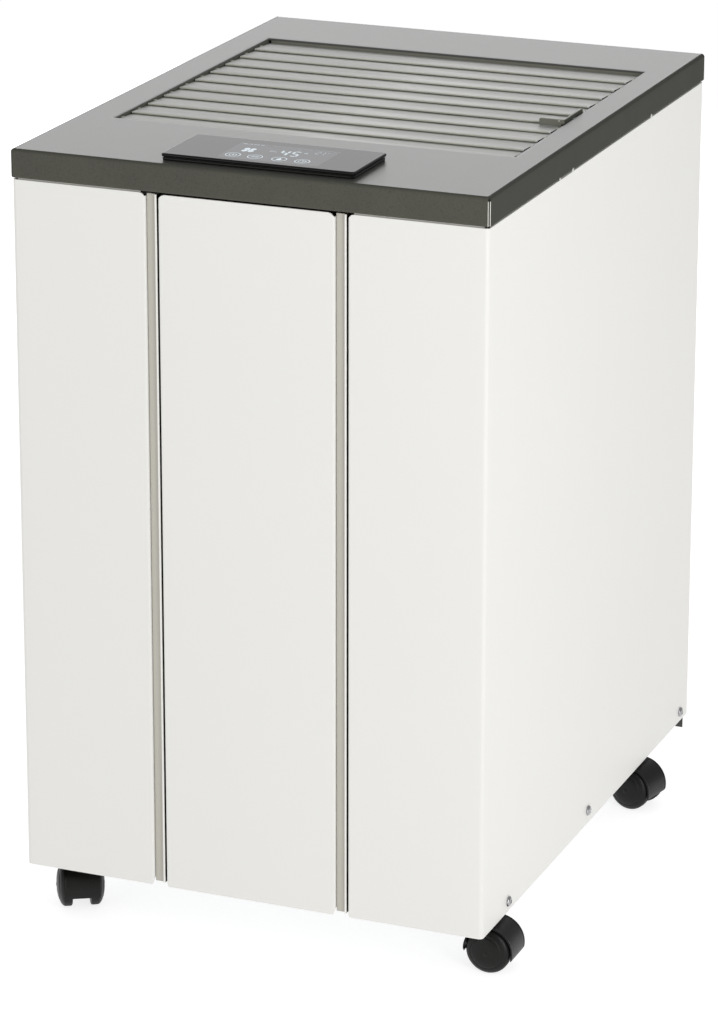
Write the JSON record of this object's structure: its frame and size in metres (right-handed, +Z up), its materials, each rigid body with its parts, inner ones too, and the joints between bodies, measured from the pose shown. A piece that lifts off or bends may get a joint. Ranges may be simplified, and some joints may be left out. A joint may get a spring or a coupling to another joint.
{
  "type": "dehumidifier",
  "caption": "Free-standing dehumidifier: white cabinet on twin-wheel casters, grey lid with tilting louvre outlet and touch display, pull-out water tank behind the front cover.",
  "frame": {"origin": "on the floor, at the middle of the bounding box of the footprint", "axes": "+Z up, the front cover faces -Y, the left side as seen from the front is -X, air leaves upwards through the louvres"},
  "size_m": [0.3724, 0.456, 0.5635],
  "materials": {
    "white_panel": "satin white powder coat on steel sheet",
    "grey_strip": "moulded warm grey trim strip",
    "grey_lid": "grey satin powder coat, top face bright under the light, fine grain",
    "brushed_blade": "brushed and anodised, lines along the blade",
    "black_plastic": "moulded black, slight gloss",
    "display_glass": "dark tinted glass slab with polished rounded edge",
    "dark_plastic": "dark grey textured plastic",
    "board_green": "circuit board with parts",
    "galvanised": "galvanised steel sheet",
    "zinc_stem": "zinc plated stem",
    "caster_nylon": "black nylon, slight gloss",
    "tank_clear": "smoky blue translucent polymer",
    "float_orange": "orange foam-filled float",
    "filter_mesh": "frame with fine nylon mesh",
    "aluminium_fins": "stacked fin pack with copper tubes",
    "compressor_black": "black enamel on a steel shell",
    "copper": "bright copper tube",
    "fan_plastic": "glass filled polymer",
    "motor_steel": "plated motor can",
    "capacitor_can": "plain aluminium can"
  },
  "bodies": {
    "cabinet": {"right_casing": "white_panel", "left_casing": "white_panel", "front_post_left": "grey_strip", "front_post_right": "grey_strip", "top_lid": "grey_lid", "louvre_frame": "dark_plastic", "display_housing": "dark_plastic", "display_glass": "display_glass", "control_board": "board_green", "back_panel": "dark_plastic", "power_inlet": "black_plastic", "drain_spigot": "black_plastic", "base_pan": "galvanised", "chassis_rail_left": "galvanised", "chassis_rail_right": "galvanised", "tank_bay_wall_left": "galvanised", "tank_bay_wall_right": "galvanised", "mid_deck": "galvanised", "caster_stem_front_left": "zinc_stem", "caster_stem_front_right": "zinc_stem", "caster_stem_rear_left": "zinc_stem", "caster_stem_rear_right": "zinc_stem", "evaporator_coil": "aluminium_fins", "condenser_coil": "aluminium_fins", "drip_tray": "dark_plastic", "compressor": "compressor_black", "accumulator": "copper", "suction_pipe": "copper", "discharge_pipe": "copper", "fan_housing": "fan_plastic", "fan_motor": "motor_steel", "run_capacitor": "capacitor_can"},
    "blade_01": {"louvre_blade_01": "brushed_blade"},
    "blade_02": {"louvre_blade_02": "brushed_blade"},
    "blade_03": {"louvre_blade_03": "brushed_blade"},
    "blade_04": {"louvre_blade_04": "brushed_blade"},
    "blade_05": {"louvre_blade_05": "brushed_blade"},
    "blade_06": {"louvre_blade_06": "brushed_blade"},
    "blade_07": {"louvre_blade_07": "brushed_blade"},
    "blade_08": {"louvre_blade_08": "brushed_blade"},
    "blade_09": {"louvre_blade_09": "brushed_blade"},
    "blade_10": {"louvre_blade_10": "brushed_blade"},
    "link_bar": {"louvre_link_bar": "black_plastic"},
    "drawer": {"front_cover": "white_panel", "cover_bracket": "galvanised", "water_tank": "tank_clear"},
    "bail": {"tank_handle": "dark_plastic"},
    "float": {"float_arm": "float_orange"},
    "filter": {"filter_cassette": "filter_mesh"},
    "impeller": {"fan_impeller": "fan_plastic"},
    "fork_front_right": {"caster_hood_front_right": "caster_nylon"},
    "wheels_front_right": {"caster_wheels_front_right": "caster_nylon"},
    "fork_front_left": {"caster_hood_front_left": "caster_nylon"},
    "wheels_front_left": {"caster_wheels_front_left": "caster_nylon"},
    "fork_rear_right": {"caster_hood_rear_right": "caster_nylon"},
    "wheels_rear_right": {"caster_wheels_rear_right": "caster_nylon"},
    "fork_rear_left": {"caster_hood_rear_left": "caster_nylon"},
    "wheels_rear_left": {"caster_wheels_rear_left": "caster_nylon"}
  },
  "joints": [
    {"name": "louvre_04", "type": "hinge", "parent": "cabinet", "child": "blade_04", "pos_m": [0, -0.02473, 0.5551], "axis": [-1, 0, 0], "range_deg": [0, 60]},
    {"name": "louvre_01", "type": "hinge", "parent": "cabinet", "child": "blade_01", "pos_m": [0, -0.1057, 0.5551], "axis": [-1, 0, 0], "range_deg": [0, 60]},
    {"name": "louvre_02", "type": "hinge", "parent": "cabinet", "child": "blade_02", "pos_m": [0, -0.07871, 0.5551], "axis": [-1, 0, 0], "range_deg": [0, 60]},
    {"name": "louvre_03", "type": "hinge", "parent": "cabinet", "child": "blade_03", "pos_m": [0, -0.05172, 0.5551], "axis": [-1, 0, 0], "range_deg": [0, 60]},
    {"name": "louvre_05", "type": "hinge", "parent": "cabinet", "child": "blade_05", "pos_m": [0, 0.00226, 0.5551], "axis": [-1, 0, 0], "range_deg": [0, 60]},
    {"name": "louvre_06", "type": "hinge", "parent": "cabinet", "child": "blade_06", "pos_m": [0, 0.02925, 0.5551], "axis": [-1, 0, 0], "range_deg": [0, 60]},
    {"name": "louvre_07", "type": "hinge", "parent": "cabinet", "child": "blade_07", "pos_m": [0, 0.05624, 0.5551], "axis": [-1, 0, 0], "range_deg": [0, 60]},
    {"name": "louvre_08", "type": "hinge", "parent": "cabinet", "child": "blade_08", "pos_m": [0, 0.08323, 0.5551], "axis": [-1, 0, 0], "range_deg": [0, 60]},
    {"name": "louvre_09", "type": "hinge", "parent": "cabinet", "child": "blade_09", "pos_m": [0, 0.11022, 0.5551], "axis": [-1, 0, 0], "range_deg": [0, 60]},
    {"name": "louvre_10", "type": "hinge", "parent": "cabinet", "child": "blade_10", "pos_m": [0, 0.13721, 0.5551], "axis": [-1, 0, 0], "range_deg": [0, 60]},
    {"name": "link_pivot", "type": "hinge", "parent": "blade_04", "child": "link_bar", "pos_m": [0.148, -0.02473, 0.5451], "axis": [-1, 0, 0], "range_deg": [-60, 0]},
    {"name": "tank_drawer", "type": "slide", "parent": "cabinet", "child": "drawer", "axis": [0, -1, 0], "range_m": [0, 0.29]},
    {"name": "tank_bail", "type": "hinge", "parent": "drawer", "child": "bail", "pos_m": [0, -0.06, 0.189], "axis": [-1, 0, 0], "range_deg": [0, 90]},
    {"name": "float_lift", "type": "hinge", "parent": "drawer", "child": "float", "pos_m": [0, 0.064, 0.176], "axis": [-1, 0, 0], "range_deg": [0, 18]},
    {"name": "filter_pull", "type": "slide", "parent": "cabinet", "child": "filter", "axis": [0, 1, 0], "range_m": [0, 0.06]},
    {"name": "fan_spin", "type": "hinge", "parent": "cabinet", "child": "impeller", "pos_m": [0, 0.04, 0.388], "axis": [0, 1, 0], "continuous": true},
    {"name": "caster_swivel_front_right", "type": "hinge", "parent": "cabinet", "child": "fork_front_right", "pos_m": [0.151, -0.188, 0.03], "axis": [0, 0, 1], "continuous": true},
    {"name": "caster_roll_front_right", "type": "hinge", "parent": "fork_front_right", "child": "wheels_front_right", "pos_m": [0.166, -0.188, 0.016], "axis": [0, 1, 0], "continuous": true},
    {"name": "caster_swivel_front_left", "type": "hinge", "parent": "cabinet", "child": "fork_front_left", "pos_m": [-0.151, -0.188, 0.03], "axis": [0, 0, 1], "continuous": true},
    {"name": "caster_roll_front_left", "type": "hinge", "parent": "fork_front_left", "child": "wheels_front_left", "pos_m": [-0.1435, -0.20099, 0.016], "axis": [0.866, 0.5, 0], "continuous": true},
    {"name": "caster_swivel_rear_right", "type": "hinge", "parent": "cabinet", "child": "fork_rear_right", "pos_m": [0.151, 0.126, 0.03], "axis": [0, 0, 1], "continuous": true},
    {"name": "caster_roll_rear_right", "type": "hinge", "parent": "fork_rear_right", "child": "wheels_rear_right", "pos_m": [0.16566, 0.12283, 0.016], "axis": [0.2113, 0.9774, 0], "continuous": true},
    {"name": "caster_swivel_rear_left", "type": "hinge", "parent": "cabinet", "child": "fork_rear_left", "pos_m": [-0.151, 0.126, 0.03], "axis": [0, 0, 1], "continuous": true},
    {"name": "caster_roll_rear_left", "type": "hinge", "parent": "fork_rear_left", "child": "wheels_rear_left", "pos_m": [-0.16566, 0.12283, 0.016], "axis": [0.2113, -0.9774, 0], "continuous": true}
  ],
  "couplings": [
    {"joint": "louvre_01", "follows": "louvre_04", "ratio": 1},
    {"joint": "louvre_02", "follows": "louvre_04", "ratio": 1},
    {"joint": "louvre_03", "follows": "louvre_04", "ratio": 1},
    {"joint": "louvre_05", "follows": "louvre_04", "ratio": 1},
    {"joint": "louvre_06", "follows": "louvre_04", "ratio": 1},
    {"joint": "louvre_07", "follows": "louvre_04", "ratio": 1},
    {"joint": "louvre_08", "follows": "louvre_04", "ratio": 1},
    {"joint": "louvre_09", "follows": "louvre_04", "ratio": 1},
    {"joint": "louvre_10", "follows": "louvre_04", "ratio": 1},
    {"joint": "link_pivot", "follows": "louvre_04", "ratio": -1}
  ]
}
